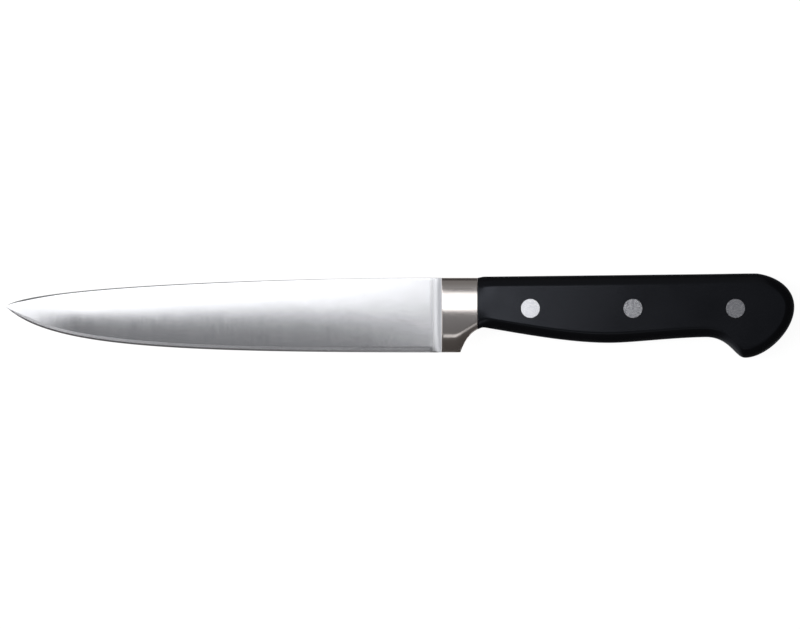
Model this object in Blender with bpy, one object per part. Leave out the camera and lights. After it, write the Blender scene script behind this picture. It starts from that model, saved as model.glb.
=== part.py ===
"""A forged kitchen knife: blade, bolster and full tang in one steel, two riveted scales.

Metres, +Z up. The knife lies on its right scale: +X runs from tip to butt, +Y is the spine side.
Shapes are drawn about a datum where the spine meets the front of the bolster, in the knife's mid plane,
and a parent empty then carries them to the middle of the footprint.
"""
import math

import bmesh
import bpy
from mathutils import Vector
from mathutils.geometry import interpolate_bezier

# Blade
BLADE_LENGTH = 0.1524         # tip to the front of the bolster
HEEL_HEIGHT = 0.0261          # spine to edge at the heel
TIP_DROP = 0.0100             # tip below the line of the spine
SPINE_THICKNESS = 0.0021      # at the heel
TIP_THICKNESS = 0.0007        # spine just behind the point
GRIND_CROWN = 0.00012         # bulge of the convex grind over a flat wedge
BEVEL_HEIGHT = 0.0016         # cutting bevel, measured up the side
BEVEL_SHOULDER = 0.0005       # thickness where the cutting bevel begins
SPINE_HEEL_REACH = 0.0450     # how far the spine runs straight from the heel
SPINE_TIP_REACH = 0.0120      # how far the spine's fall at the tip carries
SPINE_TIP_ANGLE = 40.0        # fall of the spine at the tip, in degrees
EDGE_HEEL_REACH = 0.1000      # how far the edge runs straight from the heel
EDGE_TIP_REACH = 0.0200       # how far the edge's sweep at the tip carries
EDGE_TIP_ANGLE = 43.7         # sweep of the edge at the tip, in degrees

# Bolster
BOLSTER_LENGTH = 0.0126       # front of the bolster to the scales
HEEL_LENGTH = 0.0066          # foot of the bolster, before the finger choil
BOLSTER_FILLET = 0.0032       # concave run from the blade's side to the bolster
FILLET_POWER = 2.6            # how late that run turns up, 2 being an ellipse
BOLSTER_CREST = 0.0101        # fullest line of the bolster, below the spine
CROWN_RADIUS = 0.0450         # crown of the bolster's side
TOP_ROUND = 0.0034            # rounded shoulder under the top
TOP_FALL = 0.00136            # how much each side falls back over it
CREASE_DEPTH = 0.02024        # line below which the side rounds over, below the spine line
CREASE_TURN = 0.0046          # where that line leaves the foot to follow the choil
CREASE_TURN_RUN = 0.0040      # over which the rounding changes from the foot's to the choil's
CREASE_END_DEPTH = 0.0156     # its depth at the scales
CREASE_FOOT_REACH = 0.0026    # how far it carries on level at the turn
CREASE_NECK_REACH = 0.0032    # how far it runs along the choil's rise into the scales
FOOT_LEAD = 0.00077           # the rounding begins this far above the line, over the foot
CHOIL_LEAD = 0.0010           # the same along the choil
FOOT_BEND = 90.7              # slope gained per metre below that, over the foot
CHOIL_BEND = 175.0            # the same along the choil
LOWER_SLOPE = 0.62            # at which the slope levels out
CHOIL_FOOT_REACH = 0.0052     # how far the choil rises steeply from the foot
CHOIL_FOOT_ANGLE = 70.0       # steepness there, in degrees
CHOIL_NECK_REACH = 0.0024     # how far the choil levels towards the scales
CHOIL_NECK_ANGLE = 27.0       # rise where it passes into the scales, in degrees

# Handle
HANDLE_LENGTH = 0.1106        # scales, front to butt
HANDLE_THICKNESS = 0.0160     # over both scales
TANG_THICKNESS = 0.0028
FRONT_DEPTH = 0.01805         # underside below the spine line, at the bolster
NECK_SETBACK = 0.0024         # slimmest point, behind the front of the scales
NECK_DEPTH = 0.0174
BELLY_SETBACK = 0.0459        # lowest point of the belly, behind the front of the scales
BELLY_DEPTH = 0.02275
WAIST_SETBACK = 0.0311        # start of the hook, ahead of the butt
WAIST_DEPTH = 0.02075
HOOK_SETBACK = 0.0172         # lowest point of the hook, ahead of the butt
HOOK_DEPTH = 0.02795
BUTT_DROP = 0.0102            # rearmost point below the spine line
CORNER_SETBACK = 0.0129       # upper corner of the butt, ahead of the butt
HANDLE_RISE = 0.0015          # upper corner above the spine line
NECK_RISE = 0.0004            # top line above the spine line at the slimmest point
EDGE_ROUND = 0.0033           # rounded edge of a scale, seen from the side
EDGE_START_SLOPE = 0.35       # slope of that edge where it leaves the flat face
EDGE_END_SLOPE = 1.0          # and at the outline
FRONT_BLEND = 0.0060          # run over which the scales take up the bolster's section

# Rivets
FRONT_RIVET_SETBACK = 0.0184  # behind the front of the scales
REAR_RIVET_SETBACK = 0.0206   # ahead of the butt
RIVET_DROP = 0.0107           # below the spine line
RIVET_HEAD_DIAMETER = 0.0068
RIVET_HEAD_THICKNESS = 0.0015
RIVET_POST_DIAMETER = 0.0024
RIVET_TUBE_WALL = 0.0004

FIT_GAP = 0.0003              # between pieces that are fitted together

# Fineness of the meshes
BLADE_STEPS = 26
FILLET_STEPS = 7
FOOT_STEPS = 2
CHOIL_STEPS = 7
RIB_STEPS = (3, 7, 5, 9, 11)
ROUND_STEPS = 4
FACE_STEPS = 5
RIVET_SIDES = 32
MERGE = 0.00002

HALF = HANDLE_THICKNESS / 2
TANG_HALF = TANG_THICKNESS / 2
BUTT = BOLSTER_LENGTH + HANDLE_LENGTH
HALF_POINTS = 17


def heading(length, degrees):
    """A run of the given length, at an angle above +X."""
    angle = math.radians(degrees)
    return Vector((length * math.cos(angle), length * math.sin(angle), 0))


def between(first, second, share):
    return first + (second - first) * share


def clamped(value):
    return max(0.0, min(1.0, value))


def curve_points(start, leave, arrive, end, count):
    """Points along one Bezier stretch, both ends included."""
    return [Vector(point) for point in interpolate_bezier(start, leave, arrive, end, count)]


def height_at(points, x):
    """Height of a curve at x, where the curve runs along +X."""
    for first, second in zip(points, points[1:]):
        if first.x <= x <= second.x:
            share = (x - first.x) / max(second.x - first.x, 1e-9)
            return between(first.y, second.y, share)
    return points[0].y if x < points[0].x else points[-1].y


TIP = Vector((-BLADE_LENGTH, -TIP_DROP, 0))
SPINE_HEEL = Vector((0, 0, 0))
EDGE_HEEL = Vector((0, -HEEL_HEIGHT, 0))
SPINE = curve_points(
    TIP, TIP + heading(SPINE_TIP_REACH, SPINE_TIP_ANGLE),
    SPINE_HEEL - heading(SPINE_HEEL_REACH, 0), SPINE_HEEL, 200)
EDGE = curve_points(
    TIP, TIP + heading(EDGE_TIP_REACH, -EDGE_TIP_ANGLE),
    EDGE_HEEL - heading(EDGE_HEEL_REACH, 0), EDGE_HEEL, 200)
FOOT = Vector((HEEL_LENGTH, -HEEL_HEIGHT, 0))
CHOIL_END = Vector((BOLSTER_LENGTH, -FRONT_DEPTH, 0))
CHOIL = curve_points(
    FOOT, FOOT + heading(CHOIL_FOOT_REACH, CHOIL_FOOT_ANGLE),
    CHOIL_END - heading(CHOIL_NECK_REACH, CHOIL_NECK_ANGLE), CHOIL_END, 100)

CREASE_START = Vector((CREASE_TURN, -CREASE_DEPTH, 0))
CREASE_END = Vector((BOLSTER_LENGTH, -CREASE_END_DEPTH, 0))
CREASE = [CREASE_START - heading(BOLSTER_LENGTH, 0)] + curve_points(
    CREASE_START, CREASE_START + heading(CREASE_FOOT_REACH, 0),
    CREASE_END - heading(CREASE_NECK_REACH, CHOIL_NECK_ANGLE), CREASE_END, 40)


def crown(y):
    """Half thickness of the bolster's side at y, before its edges are rounded."""
    return HALF - (y + BOLSTER_CREST) ** 2 / (2 * CROWN_RADIUS)


def blade_half(x):
    """Left half of the blade's section at x, spine to edge, as (y, z)."""
    top = height_at(SPINE, x)
    bottom = height_at(EDGE, x)
    height = top - bottom
    along = clamped((x + BLADE_LENGTH) / BLADE_LENGTH)
    spine = between(TIP_THICKNESS, SPINE_THICKNESS, along) / 2
    bevel = min(BEVEL_HEIGHT, 0.35 * height)
    shoulder = min(BEVEL_SHOULDER / 2, 0.6 * spine)
    bulge = GRIND_CROWN * 2 * spine / SPINE_THICKNESS
    soft = min(0.3 * spine, 0.1 * height)
    points = [(top, 0), (top, spine - soft)]
    sides = HALF_POINTS - 5
    for step in range(sides):
        share = step / (sides - 1)
        y = between(top - soft, bottom + bevel, share)
        points.append((y, between(spine, shoulder, share) + 4 * bulge * share * (1 - share)))
    for share in (1 / 3, 2 / 3, 1):
        points.append((between(bottom + bevel, bottom, share), between(shoulder, 0, share)))
    return points


def below_crease(x, y):
    """How far a point of the bolster's side is below the crease; above it is negative."""
    point = Vector((x, y, 0))
    nearest = HEEL_HEIGHT
    for first, second in zip(CREASE, CREASE[1:]):
        run = second - first
        share = clamped((point - first).dot(run) / run.length_squared)
        nearest = min(nearest, (first + run * share - point).length)
    return nearest if y < height_at(CREASE, x) else -nearest


def crease_turn(x):
    """0 where the crease follows the foot, 1 where it follows the choil."""
    share = clamped((x - CREASE_TURN) / CREASE_TURN_RUN)
    return share * share * (3 - 2 * share)


def bolster_side(x, y):
    """Half thickness of the bolster: crowned, rounded over at the top and below the crease."""
    high = clamped(1 + y / TOP_ROUND)
    bend = between(FOOT_BEND, CHOIL_BEND, crease_turn(x))
    lead = between(FOOT_LEAD, CHOIL_LEAD, crease_turn(x))
    gain = max(0, bend * (below_crease(x, y) + lead) / LOWER_SLOPE)
    fall = LOWER_SLOPE ** 2 / bend * math.log(math.cosh(gain))
    return crown(y) - TOP_FALL * high ** 2 - fall


def bolster_half(x):
    """Left half of the bolster's section at x, top to foot, as (y, z)."""
    bottom = height_at(CHOIL, x)
    start = height_at(CREASE, x) + between(FOOT_LEAD, CHOIL_LEAD, crease_turn(x))
    sides = HALF_POINTS - 2 * ROUND_STEPS - 6
    heights = [-TOP_ROUND * step / ROUND_STEPS for step in range(ROUND_STEPS + 1)]
    for step in range(1, sides + 1):
        heights.append(between(-TOP_ROUND, start, step / (sides + 1)))
    heights += [between(start, bottom, step / ROUND_STEPS) for step in range(ROUND_STEPS + 1)]
    points = [(0, 0), (0, TANG_HALF)]
    points += [(y, bolster_side(x, y)) for y in heights]
    return points + [(bottom, TANG_HALF), (bottom, 0)]


def front_half_thickness(y):
    """Half thickness of the bolster's rear face at y, which the scales take up."""
    inside = max(-FRONT_DEPTH, min(0, y))
    return bolster_side(BOLSTER_LENGTH, inside)


def handle_lines(front):
    """Knots of the underside and the top line, front to butt: point, reach in, reach out."""
    none = Vector((0, 0, 0))
    neck = BOLSTER_LENGTH + NECK_SETBACK
    belly = BOLSTER_LENGTH + BELLY_SETBACK
    waist = BUTT - WAIST_SETBACK
    hook = BUTT - HOOK_SETBACK
    corner = BUTT - CORNER_SETBACK
    rise = (HANDLE_RISE - NECK_RISE) / (corner - neck)
    slope = math.degrees(math.atan(rise))
    butt = Vector((BUTT, -BUTT_DROP, 0))
    fall = HOOK_DEPTH - BUTT_DROP
    head = HANDLE_RISE + BUTT_DROP
    swell = heading((belly - neck) * 0.32, -9.5)
    bed = heading((waist - belly) * 0.24, 0)
    front_run = heading((belly - neck) / 3, slope)
    rear_run = heading((waist - belly) / 3, slope)
    under = [
        (Vector((front, -FRONT_DEPTH, 0)), none, heading(NECK_SETBACK * 0.35, CHOIL_NECK_ANGLE)),
        (Vector((neck, -NECK_DEPTH, 0)), heading(NECK_SETBACK * 0.35, -9.5), swell),
        (Vector((belly, -BELLY_DEPTH, 0)), heading((belly - neck) * 0.32, 0), bed),
        (Vector((waist, -WAIST_DEPTH, 0)), heading((waist - belly) * 0.36, 1),
         heading((WAIST_SETBACK - HOOK_SETBACK) * 0.62, 1)),
        (Vector((hook, -HOOK_DEPTH, 0)), heading((WAIST_SETBACK - HOOK_SETBACK) * 0.245, 0),
         heading(HOOK_SETBACK * 0.42, 0)),
        (butt, heading(fall * 0.48, 90), none),
    ]
    top = [
        (Vector((front, 0, 0)), none, heading(NECK_SETBACK * 0.35, 6)),
        (Vector((neck, NECK_RISE, 0)), heading(NECK_SETBACK * 0.35, slope), front_run),
        (Vector((belly, NECK_RISE + rise * (belly - neck), 0)), front_run, rear_run),
        (Vector((waist, NECK_RISE + rise * (waist - neck), 0)), rear_run,
         heading((corner - waist) / 3, slope)),
        (Vector((corner, HANDLE_RISE, 0)), heading(CORNER_SETBACK * 0.2, -2),
         heading(CORNER_SETBACK * 0.52, -8)),
        (butt, heading(head * 0.58, -90), none),
    ]
    return under, top


def handle_line(knots, inwards, inset):
    """Points along one line of the handle, moved inwards by the inset; inwards is +1 below, -1 above."""
    moved = []
    for place, (point, reach_in, reach_out) in enumerate(knots):
        run = (reach_in + reach_out).normalized()
        across = Vector((-run.y, run.x, 0)) * inwards
        if place == 0:
            across = Vector((0, inwards, 0))
        moved.append(point + across * inset)
    points = [moved[0]]
    for place, steps in enumerate(RIB_STEPS):
        start, end = moved[place], moved[place + 1]
        ratio = (end - start).length / (knots[place + 1][0] - knots[place][0]).length
        leave = start + knots[place][2] * ratio
        arrive = end - knots[place + 1][1] * ratio
        points += curve_points(start, leave, arrive, end, steps + 1)[1:]
    return points


def skin(sections):
    """A skin wrapped through sections, each a ring of as many points; open ends are capped."""
    rings = len(sections) - 1
    sides = len(sections[0])
    mesh = bmesh.new()
    bmesh.ops.create_grid(mesh, x_segments=rings, y_segments=sides, size=0.5)
    for vert in mesh.verts:
        ring = round((vert.co.x + 0.5) * rings)
        side = round((vert.co.y + 0.5) * sides) % sides
        vert.co = sections[ring][side]
    bmesh.ops.remove_doubles(mesh, verts=mesh.verts, dist=MERGE)
    bmesh.ops.dissolve_degenerate(mesh, edges=mesh.edges, dist=MERGE)
    bmesh.ops.holes_fill(mesh, edges=mesh.edges)
    bmesh.ops.recalc_face_normals(mesh, faces=mesh.faces)
    return mesh


def turned(profile, centre):
    """A solid turned about Z from (radius, height) points, stood at the centre."""
    mesh = bmesh.new()
    verts = [mesh.verts.new((radius, 0, height)) for radius, height in profile]
    edges = [mesh.edges.new(pair) for pair in zip(verts, verts[1:])]
    bmesh.ops.spin(
        mesh, geom=verts + edges, cent=(0, 0, 0), axis=(0, 0, 1), dvec=(0, 0, 0),
        angle=math.tau, steps=RIVET_SIDES, use_merge=True)
    bmesh.ops.remove_doubles(mesh, verts=mesh.verts, dist=MERGE)
    bmesh.ops.recalc_face_normals(mesh, faces=mesh.faces)
    bmesh.ops.translate(mesh, verts=mesh.verts, vec=centre)
    return mesh


def finish(name, colour, metallic, roughness):
    """A plain material for one piece."""
    material = bpy.data.materials.new(name)
    material.use_nodes = True
    shader = material.node_tree.nodes["Principled BSDF"]
    shader.inputs["Base Color"].default_value = (*colour, 1)
    shader.inputs["Metallic"].default_value = metallic
    shader.inputs["Roughness"].default_value = roughness
    return material


def placed(name, mesh, parent, material=None):
    """An object made from a finished bmesh."""
    data = bpy.data.meshes.new(name)
    mesh.to_mesh(data)
    mesh.free()
    thing = bpy.data.objects.new(name, data)
    bpy.context.collection.objects.link(thing)
    thing.parent = parent
    if material:
        data.materials.append(material)
    return thing


def bored(thing, cutters):
    """Cuts the rivets' holes from a piece."""
    for cutter in cutters:
        hole = thing.modifiers.new(cutter.name, "BOOLEAN")
        hole.operation = "DIFFERENCE"
        hole.solver = "EXACT"
        hole.object = cutter


def ring_of(x, half):
    """A full section at x from its left half."""
    left = [Vector((x, y, z)) for y, z in half]
    right = [Vector((x, y, -z)) for y, z in half[-2:0:-1]]
    return left + right


def forging():
    """Blade, bolster and tang as one skin from the tip to the butt."""
    sections = []
    for step in range(BLADE_STEPS):
        x = -BLADE_LENGTH + (BLADE_LENGTH - BOLSTER_FILLET) * (step / BLADE_STEPS) ** 1.6
        half = blade_half(x)
        sections.append(ring_of(x, half if step else [(-TIP_DROP, 0)] * HALF_POINTS))
    for step in range(FILLET_STEPS + 1):
        reach = math.sin(math.pi / 2 * step / FILLET_STEPS)
        x = -BOLSTER_FILLET * (1 - reach)
        lift = 1 - (1 - reach ** FILLET_POWER) ** (1 / FILLET_POWER)
        pairs = zip(blade_half(x), bolster_half(0))
        half = [(between(a[0], b[0], lift), between(a[1], b[1], lift)) for a, b in pairs]
        sections.append(ring_of(x, half))
    for step in range(1, FOOT_STEPS + 1):
        x = HEEL_LENGTH * step / FOOT_STEPS
        sections.append(ring_of(x, bolster_half(x)))
    for step in range(1, CHOIL_STEPS + 1):
        x = between(HEEL_LENGTH, BOLSTER_LENGTH, (step / CHOIL_STEPS) ** 1.3)
        sections.append(ring_of(x, bolster_half(x)))
    under, top = handle_lines(BOLSTER_LENGTH)
    for low, high in zip(handle_line(under, 1, 0), handle_line(top, -1, 0)):
        steps = HALF_POINTS - 3
        side = [high.lerp(low, step / steps) for step in range(steps + 1)]
        left = [high] + [point + Vector((0, 0, TANG_HALF)) for point in side] + [low]
        right = [Vector((point.x, point.y, -point.z)) for point in left[-2:0:-1]]
        sections.append(left + right)
    mesh = skin(sections)
    flat = [edge for edge in mesh.edges if min(vert.co.x for vert in edge.verts) > BOLSTER_LENGTH - MERGE]
    spots = [vert for vert in mesh.verts if vert.co.x > BOLSTER_LENGTH - MERGE]
    bmesh.ops.dissolve_limit(mesh, angle_limit=math.radians(0.05), verts=spots, edges=flat)
    return mesh


def scale(side):
    """One handle scale; side is +1 for the left and -1 for the right."""
    front = BOLSTER_LENGTH + FIT_GAP
    under, top = handle_lines(front)
    rings = []
    for step in range(ROUND_STEPS + 1):
        rest = 1 - step / ROUND_STEPS
        inset = EDGE_ROUND * (1 - rest)
        fall = EDGE_START_SLOPE * rest + (EDGE_END_SLOPE - EDGE_START_SLOPE) / 2 * rest ** 2
        level = HALF - EDGE_ROUND * fall
        rings.append((handle_line(under, 1, inset), handle_line(top, -1, inset), level))
    sections = []
    for rib in range(sum(RIB_STEPS) + 1):
        low = [Vector((*line[rib].xy, level)) for line, _, level in rings]
        high = [Vector((*line[rib].xy, level)) for _, line, level in rings]
        face = [low[-1].lerp(high[-1], step / FACE_STEPS) for step in range(1, FACE_STEPS)]
        outer = low + face + high[::-1]
        for point in outer:
            share = clamped((point.x - front) / FRONT_BLEND)
            hold = (1 - share) ** 2 * (1 + 2 * share)
            point.z = between(point.z, front_half_thickness(point.y), hold)
        seat = TANG_HALF + FIT_GAP
        section = [Vector((*low[0].xy, seat))] + outer + [Vector((*high[0].xy, seat))]
        sections.append([Vector((point.x, point.y, point.z * side)) for point in section])
    return skin(sections)


for old in list(bpy.data.objects):
    bpy.data.objects.remove(old, do_unlink=True)

knife = bpy.data.objects.new("knife", None)
bpy.context.collection.objects.link(knife)

head = RIVET_HEAD_DIAMETER / 2
post = RIVET_POST_DIAMETER / 2
bore = post + FIT_GAP
tube = bore + RIVET_TUBE_WALL
hole = tube + FIT_GAP
seat = HALF - RIVET_HEAD_THICKNESS
step_down = seat - FIT_GAP
beyond = HALF + RIVET_HEAD_THICKNESS
front_rivet = BOLSTER_LENGTH + FRONT_RIVET_SETBACK
rear_rivet = BUTT - REAR_RIVET_SETBACK
rivets = {"front": front_rivet, "middle": (front_rivet + rear_rivet) / 2, "rear": rear_rivet}

cutters = []
for name, x in rivets.items():
    centre = (x, -RIVET_DROP, 0)
    wide = head + FIT_GAP
    spool = [(0, -beyond), (wide, -beyond), (wide, -step_down), (hole, -step_down),
             (hole, step_down), (wide, step_down), (wide, beyond), (0, beyond)]
    cutter = placed(f"{name}_rivet_cutter", turned(spool, centre), knife)
    cutter.hide_render = True
    cutter.display_type = "WIRE"
    cutters.append(cutter)
    shank = [(0, -HALF), (head, -HALF), (head, -seat), (post, -seat), (post, step_down), (0, step_down)]
    sleeve = [(0, HALF), (head, HALF), (head, seat), (tube, seat), (tube, -step_down),
              (bore, -step_down), (bore, seat), (0, seat)]
    steel = finish(f"{name}_rivet_post_steel", (0.62, 0.62, 0.63), 1.0, 0.3)
    placed(f"{name}_rivet_post", turned(shank, centre), knife, steel)
    steel = finish(f"{name}_rivet_tube_steel", (0.62, 0.62, 0.63), 1.0, 0.3)
    placed(f"{name}_rivet_tube", turned(sleeve, centre), knife, steel)

steel = finish("blade_steel", (0.6, 0.6, 0.62), 1.0, 0.28)
left_plastic = finish("left_scale_plastic", (0.012, 0.012, 0.014), 0.0, 0.45)
right_plastic = finish("right_scale_plastic", (0.012, 0.012, 0.014), 0.0, 0.45)
solid = placed("forged_blade", forging(), knife, steel)
left = placed("left_scale", scale(1), knife, left_plastic)
right = placed("right_scale", scale(-1), knife, right_plastic)
for thing in (solid, left, right):
    bored(thing, cutters)

spots = [vert.co for thing in (solid, left, right) for vert in thing.data.vertices]
low = [min(spot[axis] for spot in spots) for axis in range(3)]
high = [max(spot[axis] for spot in spots) for axis in range(3)]
knife.location = (-(low[0] + high[0]) / 2, -(low[1] + high[1]) / 2, -low[2])
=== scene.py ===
import math

import bmesh
import bpy
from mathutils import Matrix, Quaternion, Vector
from mathutils.geometry import interpolate_bezier


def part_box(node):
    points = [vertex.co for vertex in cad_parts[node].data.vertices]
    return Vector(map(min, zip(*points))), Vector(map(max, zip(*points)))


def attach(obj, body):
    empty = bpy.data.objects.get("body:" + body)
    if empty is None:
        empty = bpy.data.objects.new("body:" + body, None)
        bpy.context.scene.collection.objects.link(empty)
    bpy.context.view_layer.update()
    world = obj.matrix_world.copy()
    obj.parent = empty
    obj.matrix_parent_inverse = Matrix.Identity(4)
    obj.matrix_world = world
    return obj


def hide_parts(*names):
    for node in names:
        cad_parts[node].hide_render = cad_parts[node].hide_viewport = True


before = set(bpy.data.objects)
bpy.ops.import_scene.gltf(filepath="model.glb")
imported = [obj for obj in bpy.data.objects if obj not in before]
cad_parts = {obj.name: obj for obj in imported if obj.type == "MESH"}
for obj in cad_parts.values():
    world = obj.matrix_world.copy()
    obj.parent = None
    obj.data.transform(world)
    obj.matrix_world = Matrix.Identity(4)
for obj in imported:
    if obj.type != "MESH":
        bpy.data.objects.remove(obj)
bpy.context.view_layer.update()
print("frame loaded:", ", ".join(sorted(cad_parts)))

# The knife is drawn in millimetres about a datum: where the spine meets the front of the bolster,
# in the mid plane. +X runs to the butt, +Y to the spine side, +Z up through the thickness.
mm = 0.001
datumPlace = {"bolsterLength": 12.6, "scaleGap": 0.3, "rivetDrop": 10.7}
forgingLow, forgingHigh = (Vector(corner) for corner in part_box("forged_blade"))
scaleLow, scaleHigh = (Vector(corner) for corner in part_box("left_scale"))
rivetLow, rivetHigh = (Vector(corner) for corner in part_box("front_rivet_tube"))
bolsterRear = scaleLow.x - datumPlace["scaleGap"] * mm
datum = Vector((
    bolsterRear - datumPlace["bolsterLength"] * mm,
    (rivetLow.y + rivetHigh.y) / 2 + datumPlace["rivetDrop"] * mm,
    (forgingLow.z + forgingHigh.z) / 2))
bladeLength = (datum.x - forgingLow.x) / mm
buttEnd = (forgingHigh.x - datum.x) / mm
halfThick = (scaleHigh.z - datum.z) / mm


def between(first, second, share):
    return first + (second - first) * share


def clamped(value):
    return max(0.0, min(1.0, value))


def eased(share):  # 0 to 1, level at both ends
    return share * share * (3 - 2 * share)


def arched(share):  # 0 at both ends, 1 in the middle
    return 4 * share * (1 - share)


def heading(length, degrees):
    angle = math.radians(degrees)
    return Vector((length * math.cos(angle), length * math.sin(angle), 0))


def curvePoints(start, leave, arrive, end, count):
    return [Vector(point) for point in interpolate_bezier(start, leave, arrive, end, count)]


def heightAt(points, x):  # points run along +X
    for first, second in zip(points, points[1:]):
        if first.x <= x <= second.x:
            return between(first.y, second.y, (x - first.x) / max(second.x - first.x, 1e-6))
    return points[0].y if x < points[0].x else points[-1].y


# Materials

noiseSpan = (0.3, 0.7)  # most of a noise's values lie here


def linear(hexColour):  # sRGB hex to linear RGBA
    parts = [int(hexColour[place:place + 2], 16) / 255 for place in (1, 3, 5)]
    return (*[part / 12.92 if part <= 0.04045 else ((part + 0.055) / 1.055) ** 2.4 for part in parts], 1)


def perMetre(size):  # texture scale for a pattern of this size in mm
    return 1 / (size * mm)


def newMaterial(name):
    material = bpy.data.materials.new(name)
    material.use_nodes = True
    material.node_tree.nodes.clear()
    return material, material.node_tree


def addNode(tree, kind, settings=None, inputs=None):
    node = tree.nodes.new(kind)
    for name, value in (settings or {}).items():
        setattr(node, name, value)
    for name, value in (inputs or {}).items():
        if isinstance(value, bpy.types.NodeSocket):
            tree.links.new(value, node.inputs[name])
        else:
            node.inputs[name].default_value = value
    return node


groundFinish = {
    "colour": "#c1c2c6", "pale": "#cacbcd", "roughness": 0.17, "spread": 0.015, "anisotropy": 0.85,
    "lineWidth": 0.7, "lineLength": 12, "lineDepth": 0.005, "lineDetail": 4, "lineSharpness": 0.65,
    "waveWidth": 9, "waveLength": 16, "waveDepth": 0.016, "waveDetail": 2,
    "runUpStart": 4.6, "runUpEnd": 0.8, "runUpDull": 0.28}  # mm ahead of the bolster, and how much duller


def beltGroundSteel():
    # hardened stainless, ground on a belt from spine to edge: soft cross lines that spread reflections
    # along the blade and keep them crisp across it, on a side that the belt leaves a little wavy; real
    # lines are finer than a pixel. The run-up to the bolster is finished on a small wheel and is duller
    finish = groundFinish
    material, tree = newMaterial("belt_ground_stainless")
    place = addNode(tree, "ShaderNodeTexCoord")
    stretch = addNode(tree, "ShaderNodeMapping", inputs={
        "Vector": place.outputs["Object"],
        "Scale": [perMetre(size) for size in (finish["lineWidth"], finish["lineLength"], finish["lineLength"])]})
    lines = addNode(tree, "ShaderNodeTexNoise", inputs={
        "Vector": stretch.outputs["Vector"], "Scale": 1, "Detail": finish["lineDetail"],
        "Roughness": finish["lineSharpness"]})
    gloss = addNode(tree, "ShaderNodeMapRange", inputs={
        "Value": lines.outputs["Fac"], "From Min": noiseSpan[0], "From Max": noiseSpan[1],
        "To Min": finish["roughness"] - finish["spread"], "To Max": finish["roughness"] + finish["spread"]})
    split = addNode(tree, "ShaderNodeSeparateXYZ", inputs={0: place.outputs["Object"]})
    runUp = addNode(tree, "ShaderNodeMapRange", {"interpolation_type": "SMOOTHSTEP"}, {
        "Value": split.outputs["X"], "From Min": datum.x - finish["runUpStart"] * mm,
        "From Max": datum.x - finish["runUpEnd"] * mm, "To Min": 0, "To Max": finish["runUpDull"]})
    dull = addNode(tree, "ShaderNodeMath", {"operation": "ADD"}, {
        0: gloss.outputs["Result"], 1: runUp.outputs["Result"]})
    tone = addNode(tree, "ShaderNodeMix", {"data_type": "RGBA"}, {
        "Factor": lines.outputs["Fac"], "A": linear(finish["colour"]), "B": linear(finish["pale"])})
    widen = addNode(tree, "ShaderNodeMapping", inputs={
        "Vector": place.outputs["Object"],
        "Scale": [perMetre(size) for size in (finish["waveWidth"], finish["waveLength"], finish["waveLength"])]})
    wave = addNode(tree, "ShaderNodeTexNoise", inputs={
        "Vector": widen.outputs["Vector"], "Scale": 1, "Detail": finish["waveDetail"]})
    flow = addNode(tree, "ShaderNodeBump", inputs={
        "Height": wave.outputs["Fac"], "Strength": 1, "Distance": finish["waveDepth"] * mm})
    scratch = addNode(tree, "ShaderNodeBump", inputs={
        "Height": lines.outputs["Fac"], "Strength": 1, "Distance": finish["lineDepth"] * mm,
        "Normal": flow.outputs["Normal"]})
    along = addNode(tree, "ShaderNodeTangent", {"direction_type": "UV_MAP", "uv_map": "length"})
    shader = addNode(tree, "ShaderNodeBsdfPrincipled", inputs={
        "Base Color": tone.outputs["Result"], "Metallic": 1, "Roughness": dull.outputs[0],
        "Anisotropic": finish["anisotropy"], "Tangent": along.outputs["Tangent"],
        "Normal": scratch.outputs["Normal"]})
    addNode(tree, "ShaderNodeOutputMaterial", inputs={"Surface": shader.outputs[0]})
    return material


honedFinish = {
    "colour": "#c6c6c9", "roughness": 0.21, "spread": 0.015, "lineWidth": 5, "lineLength": 12, "lineDetail": 3}


def honedEdgeSteel():
    # the cutting bevel, honed on a fine wheel: as pale as the ground side, a little duller and even
    finish = honedFinish
    material, tree = newMaterial("honed_edge_stainless")
    place = addNode(tree, "ShaderNodeTexCoord")
    stretch = addNode(tree, "ShaderNodeMapping", inputs={
        "Vector": place.outputs["Object"],
        "Scale": [perMetre(size) for size in (finish["lineWidth"], finish["lineLength"], finish["lineLength"])]})
    lines = addNode(tree, "ShaderNodeTexNoise", inputs={
        "Vector": stretch.outputs["Vector"], "Scale": 1, "Detail": finish["lineDetail"]})
    gloss = addNode(tree, "ShaderNodeMapRange", inputs={
        "Value": lines.outputs["Fac"], "From Min": noiseSpan[0], "From Max": noiseSpan[1],
        "To Min": finish["roughness"] - finish["spread"], "To Max": finish["roughness"] + finish["spread"]})
    shader = addNode(tree, "ShaderNodeBsdfPrincipled", inputs={
        "Base Color": linear(finish["colour"]), "Metallic": 1, "Roughness": gloss.outputs["Result"]})
    addNode(tree, "ShaderNodeOutputMaterial", inputs={"Surface": shader.outputs[0]})
    return material


buffedFinish = {
    "colour": "#cbc5c2", "roughness": 0.12, "hazeSize": 9, "hazeDetail": 5, "hazeSharpness": 0.6,
    "hazeSpan": (0.35, 0.75), "hazeDull": 0.06}


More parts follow.
